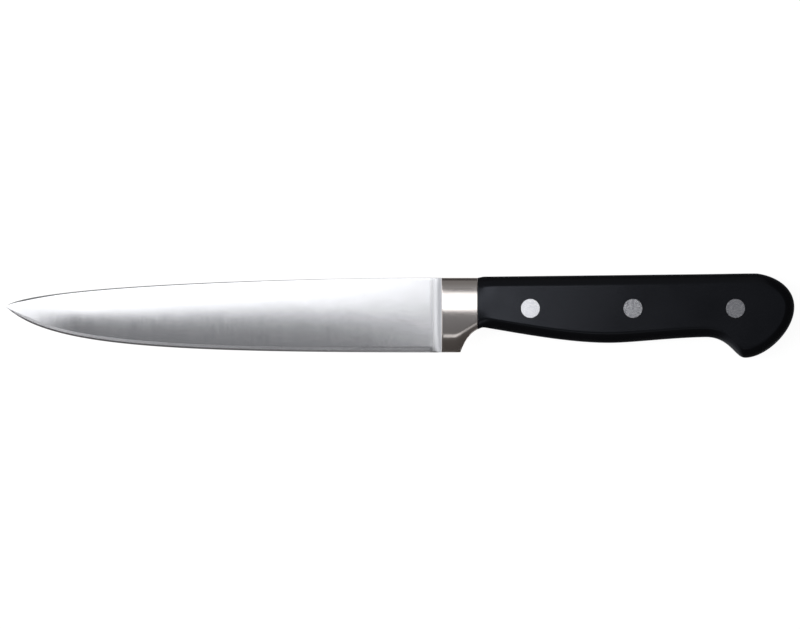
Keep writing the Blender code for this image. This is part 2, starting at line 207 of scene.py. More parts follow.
def buffedSteel():
    # the bolster, buffed on a mop: mirror bright with faint polishing haze
    finish = buffedFinish
    material, tree = newMaterial("buffed_stainless")
    place = addNode(tree, "ShaderNodeTexCoord")
    haze = addNode(tree, "ShaderNodeTexNoise", inputs={
        "Vector": place.outputs["Object"], "Scale": perMetre(finish["hazeSize"]),
        "Detail": finish["hazeDetail"], "Roughness": finish["hazeSharpness"]})
    gloss = addNode(tree, "ShaderNodeMapRange", inputs={
        "Value": haze.outputs["Fac"], "From Min": finish["hazeSpan"][0], "From Max": finish["hazeSpan"][1],
        "To Min": finish["roughness"], "To Max": finish["roughness"] + finish["hazeDull"]})
    shader = addNode(tree, "ShaderNodeBsdfPrincipled", inputs={
        "Base Color": linear(finish["colour"]), "Metallic": 1, "Roughness": gloss.outputs["Result"]})
    addNode(tree, "ShaderNodeOutputMaterial", inputs={"Surface": shader.outputs[0]})
    return material


tangFinish = {
    "colour": "#bfc0c2", "roughness": 0.3, "spread": 0.06, "lineWidth": 0.5, "lineLength": 30,
    "lineDetail": 4, "lineDepth": 0.02, "lineShare": 0.1}


def flushGroundSteel():
    # the tang's edge, ground flush with the scales along the handle: pale, with long fine lines
    finish = tangFinish
    material, tree = newMaterial("flush_ground_stainless")
    place = addNode(tree, "ShaderNodeTexCoord")
    stretch = addNode(tree, "ShaderNodeMapping", inputs={
        "Vector": place.outputs["Object"],
        "Scale": [perMetre(size) for size in (finish["lineLength"], finish["lineWidth"], finish["lineWidth"])]})
    lines = addNode(tree, "ShaderNodeTexNoise", inputs={
        "Vector": stretch.outputs["Vector"], "Scale": 1, "Detail": finish["lineDetail"]})
    gloss = addNode(tree, "ShaderNodeMapRange", inputs={
        "Value": lines.outputs["Fac"], "From Min": noiseSpan[0], "From Max": noiseSpan[1],
        "To Min": finish["roughness"] - finish["spread"], "To Max": finish["roughness"] + finish["spread"]})
    scratch = addNode(tree, "ShaderNodeBump", inputs={
        "Height": lines.outputs["Fac"], "Strength": finish["lineShare"], "Distance": finish["lineDepth"] * mm})
    shader = addNode(tree, "ShaderNodeBsdfPrincipled", inputs={
        "Base Color": linear(finish["colour"]), "Metallic": 1, "Roughness": gloss.outputs["Result"],
        "Normal": scratch.outputs["Normal"]})
    addNode(tree, "ShaderNodeOutputMaterial", inputs={"Surface": shader.outputs[0]})
    return material


acetalFinish = {
    "colour": "#040507", "worn": "#08090c", "sheen": "#e6ecfc", "ior": 1.38,
    "roughness": 0.2, "glossier": 0.02, "duller": 0.03, "patchSize": 14, "patchDetail": 4,
    "grainSize": 0.5, "grainDetail": 3, "grainDepth": 0.05, "grainShare": 0.06}


def mouldedAcetal():
    # acetal scales, ground to shape and lightly buffed: near black, a satin sheen, fine grain
    finish = acetalFinish
    material, tree = newMaterial("satin_black_acetal")
    place = addNode(tree, "ShaderNodeTexCoord")
    grain = addNode(tree, "ShaderNodeTexNoise", inputs={
        "Vector": place.outputs["Object"], "Scale": perMetre(finish["grainSize"]),
        "Detail": finish["grainDetail"]})
    patch = addNode(tree, "ShaderNodeTexNoise", inputs={
        "Vector": place.outputs["Object"], "Scale": perMetre(finish["patchSize"]),
        "Detail": finish["patchDetail"]})
    tone = addNode(tree, "ShaderNodeMix", {"data_type": "RGBA"}, {
        "Factor": patch.outputs["Fac"], "A": linear(finish["colour"]), "B": linear(finish["worn"])})
    gloss = addNode(tree, "ShaderNodeMapRange", inputs={
        "Value": patch.outputs["Fac"], "From Min": noiseSpan[0], "From Max": noiseSpan[1],
        "To Min": finish["roughness"] - finish["glossier"], "To Max": finish["roughness"] + finish["duller"]})
    pores = addNode(tree, "ShaderNodeBump", inputs={
        "Height": grain.outputs["Fac"], "Strength": finish["grainShare"], "Distance": finish["grainDepth"] * mm})
    shader = addNode(tree, "ShaderNodeBsdfPrincipled", inputs={
        "Base Color": tone.outputs["Result"], "Roughness": gloss.outputs["Result"], "IOR": finish["ior"],
        "Specular Tint": linear(finish["sheen"]), "Normal": pores.outputs["Normal"]})
    addNode(tree, "ShaderNodeOutputMaterial", inputs={"Surface": shader.outputs[0]})
    return material


rivetFinish = {
    "colour": "#a9aab0", "pale": "#c1c2c5", "mottleSpan": (0.35, 0.65), "roughness": 0.18, "spread": 0.04,
    "lineWidth": 0.5, "lineLength": 0.9, "lineDetail": 4, "lineDepth": 0.02, "lineShare": 0.06}


def groundRivetSteel():
    # rivet heads, ground flush with the scales: pale and dull, with a short mottled scratch
    finish = rivetFinish
    material, tree = newMaterial("ground_rivet_steel")
    place = addNode(tree, "ShaderNodeTexCoord")
    stretch = addNode(tree, "ShaderNodeMapping", inputs={
        "Vector": place.outputs["Object"],
        "Scale": [perMetre(size) for size in (finish["lineLength"], finish["lineWidth"], finish["lineWidth"])]})
    lines = addNode(tree, "ShaderNodeTexNoise", inputs={
        "Vector": stretch.outputs["Vector"], "Scale": 1, "Detail": finish["lineDetail"]})
    gloss = addNode(tree, "ShaderNodeMapRange", inputs={
        "Value": lines.outputs["Fac"], "From Min": noiseSpan[0], "From Max": noiseSpan[1],
        "To Min": finish["roughness"] - finish["spread"], "To Max": finish["roughness"] + finish["spread"]})
    mottle = addNode(tree, "ShaderNodeMapRange", inputs={
        "Value": lines.outputs["Fac"], "From Min": finish["mottleSpan"][0], "From Max": finish["mottleSpan"][1],
        "To Min": 0, "To Max": 1})
    tone = addNode(tree, "ShaderNodeMix", {"data_type": "RGBA"}, {
        "Factor": mottle.outputs["Result"], "A": linear(finish["colour"]), "B": linear(finish["pale"])})
    scratch = addNode(tree, "ShaderNodeBump", inputs={
        "Height": lines.outputs["Fac"], "Strength": finish["lineShare"], "Distance": finish["lineDepth"] * mm})
    shader = addNode(tree, "ShaderNodeBsdfPrincipled", inputs={
        "Base Color": tone.outputs["Result"], "Metallic": 1, "Roughness": gloss.outputs["Result"],
        "Normal": scratch.outputs["Normal"]})
    addNode(tree, "ShaderNodeOutputMaterial", inputs={"Surface": shader.outputs[0]})
    return material


bladeSteel = beltGroundSteel()
edgeSteel = honedEdgeSteel()
bolsterSteel = buffedSteel()
tangSteel = flushGroundSteel()
scalePlastic = mouldedAcetal()
rivetSteel = groundRivetSteel()
print("materials ready")


# Meshes

meshRules = {
    "merge": 0.0005, "touch": 0.001, "clear": 0.1, "uvTile": 100,  # mm
    "creaseAngle": 30, "rimAngle": 50, "spinSteps": 96, "bevelSegments": 3}


def skin(sections, pickSlot=None):  # a sheet wrapped through rings of as many points, ends closed
    rings, sides = len(sections) - 1, len(sections[0])
    mesh = bmesh.new()
    bmesh.ops.create_grid(mesh, x_segments=rings, y_segments=sides, size=0.5)  # from -0.5 to 0.5
    if pickSlot:
        for face in mesh.faces:
            middle = face.calc_center_median()
            face.material_index = pickSlot((middle.x + 0.5) * rings, (middle.y + 0.5) * sides)
    for vert in mesh.verts:
        ring = round((vert.co.x + 0.5) * rings)
        side = round((vert.co.y + 0.5) * sides) % sides
        vert.co = sections[ring][side]
    bmesh.ops.remove_doubles(mesh, verts=mesh.verts, dist=meshRules["merge"])
    bmesh.ops.dissolve_degenerate(mesh, edges=mesh.edges, dist=meshRules["merge"])
    bmesh.ops.holes_fill(mesh, edges=mesh.edges)
    bmesh.ops.recalc_face_normals(mesh, faces=mesh.faces)
    return mesh


def turned(profile, centre):  # a profile of (radius, height), closed on the axis, spun about Z at a centre
    mesh = bmesh.new()
    verts = [mesh.verts.new((radius, 0, height)) for radius, height in profile]
    edges = [mesh.edges.new(pair) for pair in zip(verts, verts[1:])]
    bmesh.ops.spin(
        mesh, geom=verts + edges, cent=(0, 0, 0), axis=(0, 0, 1), dvec=(0, 0, 0),
        angle=math.tau, steps=meshRules["spinSteps"], use_merge=True)
    bmesh.ops.remove_doubles(mesh, verts=mesh.verts, dist=meshRules["merge"])
    bmesh.ops.recalc_face_normals(mesh, faces=mesh.faces)
    bmesh.ops.translate(mesh, vec=(centre.x, centre.y, 0), verts=mesh.verts)
    return mesh


def rimAt(mesh, x, inner):  # edges of an end face at x, but for those within inner of the mid plane
    return [edge for edge in mesh.edges
            if all(abs(vert.co.x - x) < meshRules["touch"] for vert in edge.verts)
            and edge.calc_face_angle(0) > math.radians(meshRules["rimAngle"])
            and any(abs(vert.co.z) > inner + meshRules["clear"] for vert in edge.verts)]


def softened(mesh, edges, offset):
    bmesh.ops.bevel(
        mesh, geom=edges, offset=offset, offset_type="OFFSET", segments=meshRules["bevelSegments"],
        profile=0.5, affect="EDGES", clamp_overlap=True, material=-1)


def shaded(mesh):  # smooth, with a crease along each sharp edge
    for face in mesh.faces:
        face.smooth = True
    for edge in mesh.edges:
        edge.smooth = edge.calc_face_angle(0) < math.radians(meshRules["creaseAngle"])


def linked(name, data):
    thing = bpy.data.objects.new(name, data)
    bpy.context.collection.objects.link(thing)
    return thing


def placed(name, mesh, materials):  # from datum millimetres to the frame's metres
    layer = mesh.loops.layers.uv.new("length")
    for face in mesh.faces:
        for loop in face.loops:
            loop[layer].uv = loop.vert.co.xy / meshRules["uvTile"]
    shaded(mesh)
    bmesh.ops.scale(mesh, vec=(mm, mm, mm), verts=mesh.verts)
    bmesh.ops.translate(mesh, vec=datum, verts=mesh.verts)
    data = bpy.data.meshes.new(name)
    mesh.to_mesh(data)
    mesh.free()
    for material in materials:
        data.materials.append(material)
    return linked(name, data)


# Blade and bolster

bladeShape = {
    "heelHeight": 26.1, "tipDrop": 10.0, "linePoints": 400,
    "spineHeelReach": 45, "spineTipReach": 12, "spineTipAngle": 40,
    "edgeHeelReach": 100, "edgeTipReach": 20, "edgeTipAngle": 43.7,
    "spineThickness": 1.92, "tipThickness": 0.46, "distalCrown": 0.21, "tiltGain": 0.0011,
    "tipCrown": 0.125, "heelCrown": -0.03, "crownPower": 3, "crownHeight": 16, "crownFade": 6,  # of the sides
    "bevelHeight": 1.6, "bevelShoulder": 0.5, "pointHeight": 8,
    "honedHeight": 0.45, "honedShoulder": 0.32, "honedTipShoulder": 0.44, "honedRate": 1.6, "honedPoint": 4,
    "heelSoft": 0.2, "tipSoft": 0.85, "softRate": 1.3, "softLimit": 0.12,  # depth of the spine's rounded edges
    "heelArris": 0.15, "tipArris": 0.4, "arrisRate": 8, "arrisLimit": 0.8,  # their width, as a share of it
    "stations": 150, "firstStation": 3, "stationPower": 1.5}  # a rate of 2 has the heel's value half way
bolsterShape = {
    "length": datumPlace["bolsterLength"], "footLength": 6.6, "frontDepth": 18.05,
    "fillet": 4.2, "filletPower": 3.2, "crestSoft": 0.3, "arris": 0.3, "rearSoft": 0.2,
    "crest": 10.1, "crownRadius": 45, "topRound": 3.4, "topFall": 1.36,  # the sides' crown
    "creaseDepth": 20.24, "creaseLeadIn": 12, "creaseTurn": 4.6, "creaseTurnRun": 4, "creaseEndDepth": 15.6,
    "creaseFootReach": 2.6, "creaseNeckReach": 3.2, "creasePoints": 40,  # where the lower side rounds over
    "footLead": 0.77, "choilLead": 1.0, "footBend": 0.0907, "choilBend": 0.175, "lowerSlope": 0.62,
    "choilFootReach": 5.2, "choilFootAngle": 70, "choilNeckReach": 2.4, "choilNeckAngle": 27, "choilPoints": 300,
    "filletStations": 36, "crestStations": 6, "footStations": 10, "choilStations": 36}
ringParts = {"flat": 4, "soft": 5, "side": 42}  # points on a half ring: flat, arris, side, arris, flat
halfRing = 2 * ringParts["flat"] + 2 * ringParts["soft"] + ringParts["side"]
tangThickness = 2.8

tip = Vector((-bladeLength, -bladeShape["tipDrop"], 0))
heelTop = Vector((0, 0, 0))
heelFoot = Vector((0, -bladeShape["heelHeight"], 0))
spineLine = curvePoints(
    tip, tip + heading(bladeShape["spineTipReach"], bladeShape["spineTipAngle"]),
    heelTop - heading(bladeShape["spineHeelReach"], 0), heelTop, bladeShape["linePoints"])
edgeLine = curvePoints(
    tip, tip + heading(bladeShape["edgeTipReach"], -bladeShape["edgeTipAngle"]),
    heelFoot - heading(bladeShape["edgeHeelReach"], 0), heelFoot, bladeShape["linePoints"])
choilFoot = Vector((bolsterShape["footLength"], -bladeShape["heelHeight"], 0))
choilEnd = Vector((bolsterShape["length"], -bolsterShape["frontDepth"], 0))
choilLine = curvePoints(
    choilFoot, choilFoot + heading(bolsterShape["choilFootReach"], bolsterShape["choilFootAngle"]),
    choilEnd - heading(bolsterShape["choilNeckReach"], bolsterShape["choilNeckAngle"]), choilEnd,
    bolsterShape["choilPoints"])
creaseStart = Vector((bolsterShape["creaseTurn"], -bolsterShape["creaseDepth"], 0))
creaseEnd = Vector((bolsterShape["length"], -bolsterShape["creaseEndDepth"], 0))
creaseLine = [creaseStart - heading(bolsterShape["creaseLeadIn"], 0)] + curvePoints(
    creaseStart, creaseStart + heading(bolsterShape["creaseFootReach"], 0),
    creaseEnd - heading(bolsterShape["creaseNeckReach"], bolsterShape["choilNeckAngle"]), creaseEnd,
    bolsterShape["creasePoints"])


def bladeHalf(x):  # left half of the blade's section, spine to edge, as (y, z)
    shape, parts = bladeShape, ringParts
    top, bottom = heightAt(spineLine, x), heightAt(edgeLine, x)
    along = clamped((x + bladeLength) / bladeLength)  # tip to heel
    height = top - bottom
    thin = min(1, height / shape["pointHeight"])  # everything thins out into the point
    bevel = shape["bevelHeight"] * thin
    honed = shape["honedHeight"] * min(1, height / shape["honedPoint"])
    shoulder = shape["bevelShoulder"] / 2 * thin
    lip = between(shape["honedTipShoulder"], shape["honedShoulder"], clamped(shape["honedRate"] * along))
    lip *= thin / 2
    spine = between(shape["tipThickness"], shape["spineThickness"], along) / 2
    spine += shape["distalCrown"] * arched(along)
    tilt = shape["tiltGain"] * height
    spine = min(spine, shoulder + tilt * (height - bevel))  # keeps the sides flat into the point
    bulge = between(shape["tipCrown"], shape["heelCrown"], along ** shape["crownPower"])
    bulge *= min(1, height / shape["crownHeight"]) ** shape["crownFade"]
    soft = between(shape["tipSoft"], shape["heelSoft"], clamped(shape["softRate"] * along))
    soft = min(soft, shape["softLimit"] * height)
    arris = between(shape["tipArris"], shape["heelArris"], clamped(shape["arrisRate"] * along)) * soft
    arris = min(arris, shape["arrisLimit"] * spine)
    points = [(top, (spine - arris) * step / parts["flat"]) for step in range(parts["flat"])]
    for step in range(parts["soft"]):
        share = step / parts["soft"]
        points.append((top - soft * share, spine - arris * (1 - share) ** 2))
    for step in range(parts["side"]):
        share = step / (parts["side"] - 1)
        y = between(top - soft, bottom + bevel, share)
        points.append((y, between(spine, shoulder, share) + bulge * arched(share)))
    for step in range(1, parts["soft"] + 1):
        share = step / parts["soft"]
        points.append((bottom + between(bevel, honed, share), between(shoulder, lip, share)))
    for step in range(1, parts["flat"] + 1):
        share = step / parts["flat"]
        points.append((bottom + between(honed, 0, share), between(lip, 0, share)))
    return points


def belowCrease(x, y):  # distance below the line where the lower side begins to round over, above is negative
    point = Vector((x, y, 0))
    nearest = math.inf
    for first, second in zip(creaseLine, creaseLine[1:]):
        run = second - first
        share = clamped((point - first).dot(run) / run.length_squared)
        nearest = min(nearest, (first + run * share - point).length)
    return nearest if y < heightAt(creaseLine, x) else -nearest


def bolsterSide(x, y):  # crowned, rounded over at the top, and below a line that follows foot and choil
    shape = bolsterShape
    crown = halfThick - (y + shape["crest"]) ** 2 / (2 * shape["crownRadius"])
    high = clamped(1 + y / shape["topRound"])
    turn = eased(clamped((x - shape["creaseTurn"]) / shape["creaseTurnRun"]))
    bend = between(shape["footBend"], shape["choilBend"], turn)
    lead = between(shape["footLead"], shape["choilLead"], turn)
    gain = max(0, bend * (belowCrease(x, y) + lead) / shape["lowerSlope"])
    fall = shape["lowerSlope"] ** 2 / bend * math.log(math.cosh(gain))  # the slope levels out at lowerSlope
    return crown - shape["topFall"] * high ** 2 - fall


def bolsterHalf(x):  # left half of the bolster's section, top to foot, as (y, z)
    bottom = heightAt(choilLine, x)
    arris, parts = bolsterShape["arris"], ringParts
    topZ, lowZ = bolsterSide(x, -arris), bolsterSide(x, bottom + arris)
    flat = parts["flat"] - 1  # steps to the tang's corner
    points = [(0, tangThickness / 2 * step / flat) for step in range(flat + 1)]
    for step in range(parts["soft"]):
        turn = math.pi / 2 * step / parts["soft"]
        points.append((-arris * (1 - math.cos(turn)), topZ - arris * (1 - math.sin(turn))))
    for step in range(parts["side"]):
        y = between(-arris, bottom + arris, step / (parts["side"] - 1))
        points.append((y, bolsterSide(x, y)))
    for step in range(parts["soft"] - 1, -1, -1):
        turn = math.pi / 2 * step / parts["soft"]
        points.append((bottom + arris * (1 - math.cos(turn)), lowZ - arris * (1 - math.sin(turn))))
    points += [(bottom, tangThickness / 2 * step / flat) for step in range(flat, -1, -1)]
    return points


def mixedHalf(half, other, share):
    return [(between(a[0], b[0], share), between(a[1], b[1], share)) for a, b in zip(half, other)]


def closedRing(left):  # the left half of a ring and its mirror image
    return left + [Vector((point.x, point.y, -point.z)) for point in left[-2:0:-1]]


def ringOf(x, half):
    return closedRing([Vector((x, y, z)) for y, z in half])


# Handle lines; reaches are shares of the run that they lie on

handleShape = {
    "neckSetback": 2.4, "neckDepth": 17.4, "neckRise": 0.4, "neckReach": 0.35, "neckTopAngle": 6,
    "swellAngle": -9.5, "swellReach": 0.32,
    "bellySetback": 45.9, "bellyDepth": 22.75, "bellyReach": 0.24,
    "waistSetback": 31.1, "waistDepth": 20.75, "waistAngle": 1, "waistReachIn": 0.36, "waistReachOut": 0.62,
    "hookSetback": 17.2, "hookDepth": 27.95, "hookReachIn": 0.245, "hookReachOut": 0.42,
    "rise": 1.5, "cornerSetback": 12.9, "cornerAngleIn": -2, "cornerAngleOut": -8,
    "cornerReachIn": 0.2, "cornerReachOut": 0.52,
    "buttDrop": 10.2, "buttReachLow": 0.48, "buttReachTop": 0.58,
    "ribs": (5, 36, 26, 40, 48)}  # steps from knot to knot


def handleLines(front):  # knots of the underside and the top line, front to butt: point, reach in, reach out
    shape, block = handleShape, bolsterShape
    none = Vector((0, 0, 0))
    neck = block["length"] + shape["neckSetback"]
    belly = block["length"] + shape["bellySetback"]
    waist = buttEnd - shape["waistSetback"]
    hook = buttEnd - shape["hookSetback"]
    corner = buttEnd - shape["cornerSetback"]
    rise = (shape["rise"] - shape["neckRise"]) / (corner - neck)
    slope = math.degrees(math.atan(rise))
    butt = Vector((buttEnd, -shape["buttDrop"], 0))
    turnIn = shape["neckSetback"] * shape["neckReach"]
    swell = (belly - neck) * shape["swellReach"]
    hookRun = shape["waistSetback"] - shape["hookSetback"]
    under = [
        (Vector((front, -block["frontDepth"], 0)), none, heading(turnIn, block["choilNeckAngle"])),
        (Vector((neck, -shape["neckDepth"], 0)),
         heading(turnIn, shape["swellAngle"]), heading(swell, shape["swellAngle"])),
        (Vector((belly, -shape["bellyDepth"], 0)),
         heading(swell, 0), heading((waist - belly) * shape["bellyReach"], 0)),
        (Vector((waist, -shape["waistDepth"], 0)),
         heading((waist - belly) * shape["waistReachIn"], shape["waistAngle"]),
         heading(hookRun * shape["waistReachOut"], shape["waistAngle"])),
        (Vector((hook, -shape["hookDepth"], 0)),
         heading(hookRun * shape["hookReachIn"], 0), heading(shape["hookSetback"] * shape["hookReachOut"], 0)),
        (butt, heading((shape["hookDepth"] - shape["buttDrop"]) * shape["buttReachLow"], 90), none)]
    frontRun = heading((belly - neck) / 3, slope)  # on the straight top the reaches are thirds
    middleRun = heading((waist - belly) / 3, slope)
    rearRun = heading((corner - waist) / 3, slope)
    top = [
        (Vector((front, 0, 0)), none, heading(turnIn, shape["neckTopAngle"])),
        (Vector((neck, shape["neckRise"], 0)), heading(turnIn, slope), frontRun),
        (Vector((belly, shape["neckRise"] + rise * (belly - neck), 0)), frontRun, middleRun),
        (Vector((waist, shape["neckRise"] + rise * (waist - neck), 0)), middleRun, rearRun),
        (Vector((corner, shape["rise"], 0)),
         heading(shape["cornerSetback"] * shape["cornerReachIn"], shape["cornerAngleIn"]),
         heading(shape["cornerSetback"] * shape["cornerReachOut"], shape["cornerAngleOut"])),
        (butt, heading((shape["rise"] + shape["buttDrop"]) * shape["buttReachTop"], -90), none)]
    return under, top


def handleLine(knots, inwards, inset):  # points along one line, moved inwards; +1 below, -1 above
    moved = []
    for place, (point, reachIn, reachOut) in enumerate(knots):
        run = (reachIn + reachOut).normalized()
        across = Vector((-run.y, run.x, 0)) * inwards if place else Vector((0, inwards, 0))
        moved.append(point + across * inset)
    points = [moved[0]]
    for place, steps in enumerate(handleShape["ribs"]):
        start, end = moved[place], moved[place + 1]
        ratio = (end - start).length / (knots[place + 1][0] - knots[place][0]).length
        points += curvePoints(
            start, start + knots[place][2] * ratio, end - knots[place + 1][1] * ratio, end, steps + 1)[1:]
    return points


# Rivet seats

rivetShape = {
    "headThickness": 1.5, "postDiameter": 2.4, "tubeWall": 0.4, "tubeFloor": 0.2, "innerGap": 0.3,
    "seatGap": 0.07, "chamfer": 0.12, "cutOver": 1}
headRadius = (rivetHigh.x - rivetLow.x) / 2 / mm


def rivetProfile(kind):  # half outline of a rivet's post, tube or the seat cut for both
    shape = rivetShape
    post = shape["postDiameter"] / 2
    bore = post + shape["innerGap"]
    tube = bore + shape["tubeWall"]
    ledge = halfThick - shape["headThickness"]
    rim = shape["chamfer"]
    if kind == "seat":
        wide = headRadius + shape["seatGap"]
        hole = tube + shape["seatGap"]
        step = ledge - shape["seatGap"]
        beyond = halfThick + shape["cutOver"]
        return [(0, -beyond), (wide, -beyond), (wide, -step), (hole, -step),
                (hole, step), (wide, step), (wide, beyond), (0, beyond)]
    head = [(0, halfThick), (headRadius - rim, halfThick), (headRadius, halfThick - rim), (headRadius, ledge)]
    end = -ledge + shape["innerGap"]
    if kind == "tube":
        floor = ledge - shape["tubeFloor"]
        return head + [(tube, ledge), (tube, end), (bore, end), (bore, floor), (0, floor)]
    end += shape["tubeFloor"]
    return [(radius, -height) for radius, height in head + [(post, ledge), (post, end), (0, end)]]


rivets = {}
for name in ("front", "middle", "rear"):
    low, high = (Vector(corner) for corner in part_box(f"{name}_rivet_tube"))
    rivets[name] = ((low + high) / 2 - datum) / mm
seats = [placed(f"{name}_seat_cut", turned(rivetProfile("seat"), centre), []) for name, centre in rivets.items()]


def bored(solid, name):  # the piece that is left when the rivets' seats are cut from a solid
    for seat in seats:
        hole = solid.modifiers.new(seat.name, "BOOLEAN")
        hole.operation = "DIFFERENCE"
        hole.solver = "EXACT"
        hole.object = seat
    bpy.context.view_layer.update()
    cut = bpy.data.meshes.new_from_object(solid.evaluated_get(bpy.context.evaluated_depsgraph_get()))
    bpy.data.objects.remove(solid)
    mesh = bmesh.new()
    mesh.from_mesh(cut)
    shaded(mesh)
    mesh.to_mesh(cut)
    mesh.free()
    cut.name = name
    return linked(name, cut)


# Forging: blade, bolster and tang in one steel

slots = {"blade": 0, "edge": 1, "bolster": 2, "tang": 3}
tangMesh = {"behind": 0.01, "flatAngle": 0.02}  # mm behind the bolster, and degrees that count as flat


def forging():
    blade, block = bladeShape, bolsterShape
    sections = []
    for step in (0, *range(blade["firstStation"], blade["stations"])):  # those between would crowd the point
        x = -bladeLength + (bladeLength - block["fillet"]) * (step / blade["stations"]) ** blade["stationPower"]
        sections.append(ringOf(x, bladeHalf(x) if step else [(-blade["tipDrop"], 0)] * halfRing))
    bladeRings = len(sections)
    front = bolsterHalf(0)
    softShare = block["crestSoft"] / (halfThick - blade["spineThickness"] / 2)
    for step in range(block["filletStations"] + 1):  # the run-up to the bolster
        reach = math.sin(math.pi / 2 * step / block["filletStations"])
        x = -block["fillet"] * (1 - reach)
        lift = (1 - (1 - reach ** block["filletPower"]) ** (1 / block["filletPower"])) * (1 - softShare)
        sections.append(ringOf(x, mixedHalf(bladeHalf(x), front, lift)))
    bladeEnd = len(sections) - 1
    for step in range(1, block["crestStations"] + 1):  # the softened front arris of the bolster
        turn = math.pi / 2 * step / block["crestStations"]
        x = block["crestSoft"] * (1 - math.cos(turn))
        lift = 1 - softShare * (1 - math.sin(turn))
        sections.append(ringOf(x, mixedHalf(bladeHalf(0), front, lift)))
    for start, end, stations in (
            (block["crestSoft"], block["footLength"], block["footStations"]),
            (block["footLength"], block["length"], block["choilStations"])):
        for step in range(1, stations + 1):
            x = between(start, end, step / stations)
            sections.append(ringOf(x, bolsterHalf(x)))
    bolsterEnd = len(sections)
    rear = block["length"]
    under, top = handleLines(rear)
    raised = Vector((0, 0, tangThickness / 2))
    flat = ringParts["flat"] - 1
    steps = halfRing - 2 * flat - 1
    for low, high in zip(handleLine(under, 1, 0), handleLine(top, -1, 0)):
        left = [high + raised * step / flat for step in range(flat + 1)]
        left += [high.lerp(low, step / steps) + raised for step in range(1, steps)]
        left += [low + raised * step / flat for step in range(flat, -1, -1)]
        sections.append(closedRing(left))
    edgeFrom = ringParts["flat"] + ringParts["soft"] + ringParts["side"] - 1

    def pickSlot(ring, side):
        if ring > bolsterEnd:
            return slots["tang"]
        if ring > bladeEnd:
            return slots["bolster"]
        fromSpine = min(side, 2 * (halfRing - 1) - side)
        onEdge = fromSpine > edgeFrom and ring <= bladeRings
        return slots["edge"] if onEdge else slots["blade"]

    mesh = skin(sections, pickSlot)
    tangStart = rear + tangMesh["behind"]
    bmesh.ops.dissolve_limit(
        mesh, angle_limit=math.radians(tangMesh["flatAngle"]),
        verts=[vert for vert in mesh.verts if vert.co.x > tangStart],
        edges=[edge for edge in mesh.edges if all(vert.co.x > tangStart for vert in edge.verts)])
    softened(mesh, rimAt(mesh, rear, tangThickness / 2), block["rearSoft"])
    return mesh


forgingSolid = placed("forging_solid", forging(), [bladeSteel, edgeSteel, bolsterSteel, tangSteel])
bladePiece = bored(forgingSolid, "knife_blade_bolster_tang")
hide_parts("forged_blade")
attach(bladePiece, "root")
print("forging:", len(bladePiece.data.polygons), "faces")


# Scales

scaleShape = {
    "jointGap": 0.04, "frontSoft": 0.2, "frontBlend": 6,
    "edgeRound": 3.3, "edgeStart": 0.35, "edgeEnd": 1.0, "roundSteps": 14, "faceSteps": 26,
    "corner": 0.4, "cornerAngles": (25, 60), "cornerClear": 1, "cornerSetback": 0.15}


def scaleMesh(side):  # +1 is the left scale, -1 the right
    shape = scaleShape
    front = bolsterShape["length"] + shape["jointGap"]
    seat = tangThickness / 2 + shape["jointGap"]
    under, top = handleLines(front)
    rings = []
    for step in range(shape["roundSteps"] + 1):
        share = step / shape["roundSteps"]
        inset = shape["edgeRound"] * share
        fall = shape["edgeStart"] * (1 - share) + (shape["edgeEnd"] - shape["edgeStart"]) / 2 * (1 - share) ** 2
        level = halfThick - shape["edgeRound"] * fall
        rings.append((handleLine(under, 1, inset), handleLine(top, -1, inset), level))
    sections = []
    for rib in range(sum(handleShape["ribs"]) + 1):
        low = [Vector((*line[rib].xy, level)) for line, _, level in rings]
        high = [Vector((*line[rib].xy, level)) for _, line, level in rings]
        face = [low[-1].lerp(high[-1], step / shape["faceSteps"]) for step in range(1, shape["faceSteps"])]
        outer = low + face + high[::-1]
        for point in outer:  # the front takes up the bolster's section
            hold = 1 - eased(clamped((point.x - front) / shape["frontBlend"]))
            inside = max(-bolsterShape["frontDepth"], min(0, point.y))
            if hold:
                point.z = between(point.z, bolsterSide(bolsterShape["length"], inside), hold)
        ring = [Vector((*low[0].xy, seat))] + outer + [Vector((*high[0].xy, seat))]
        sections.append([Vector((point.x, point.y, point.z * side)) for point in ring])
    mesh = skin(sections)
    softened(mesh, rimAt(mesh, front, seat), shape["frontSoft"])
    least, most = (math.radians(angle) for angle in shape["cornerAngles"])
    corner = [edge for edge in mesh.edges
              if least < edge.calc_face_angle(0) < most
              and all(abs(vert.co.z) > seat + shape["cornerClear"] for vert in edge.verts)
              and all(vert.co.x > front + shape["cornerSetback"] for vert in edge.verts)]
    softened(mesh, corner, shape["corner"])
    return mesh


for name, side in (("left_scale", 1), ("right_scale", -1)):
    scalePiece = bored(placed(f"{name}_solid", scaleMesh(side), [scalePlastic]), f"knife_{name}")
    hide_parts(name)
    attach(scalePiece, "root")
    print(name, len(scalePiece.data.polygons), "faces")
for seat in seats:
    bpy.data.objects.remove(seat)


# Rivets

for name, centre in rivets.items():
    for kind in ("post", "tube"):
        rivetPiece = placed(f"knife_{name}_rivet_{kind}", turned(rivetProfile(kind), centre), [rivetSteel])
        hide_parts(f"{name}_rivet_{kind}")
        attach(rivetPiece, "root")
print("rivets ready")


# Floor, light and camera

stageSet = {
    "floorSize": 4.0, "floorDrop": 0.1,  # metres across, mm under the knife
    "paper": "#f4f4f4", "paperRoughness": 0.9, "paperShare": 0.25, "glow": 1.25}
floorMesh = bmesh.new()
bmesh.ops.create_grid(floorMesh, x_segments=1, y_segments=1, size=stageSet["floorSize"] / 2)
bmesh.ops.translate(floorMesh, vec=(0, 0, -stageSet["floorDrop"] * mm), verts=floorMesh.verts)
floorData = bpy.data.meshes.new("studio_floor")
floorMesh.to_mesh(floorData)
floorMesh.free()
floor = linked("studio_floor", floorData)

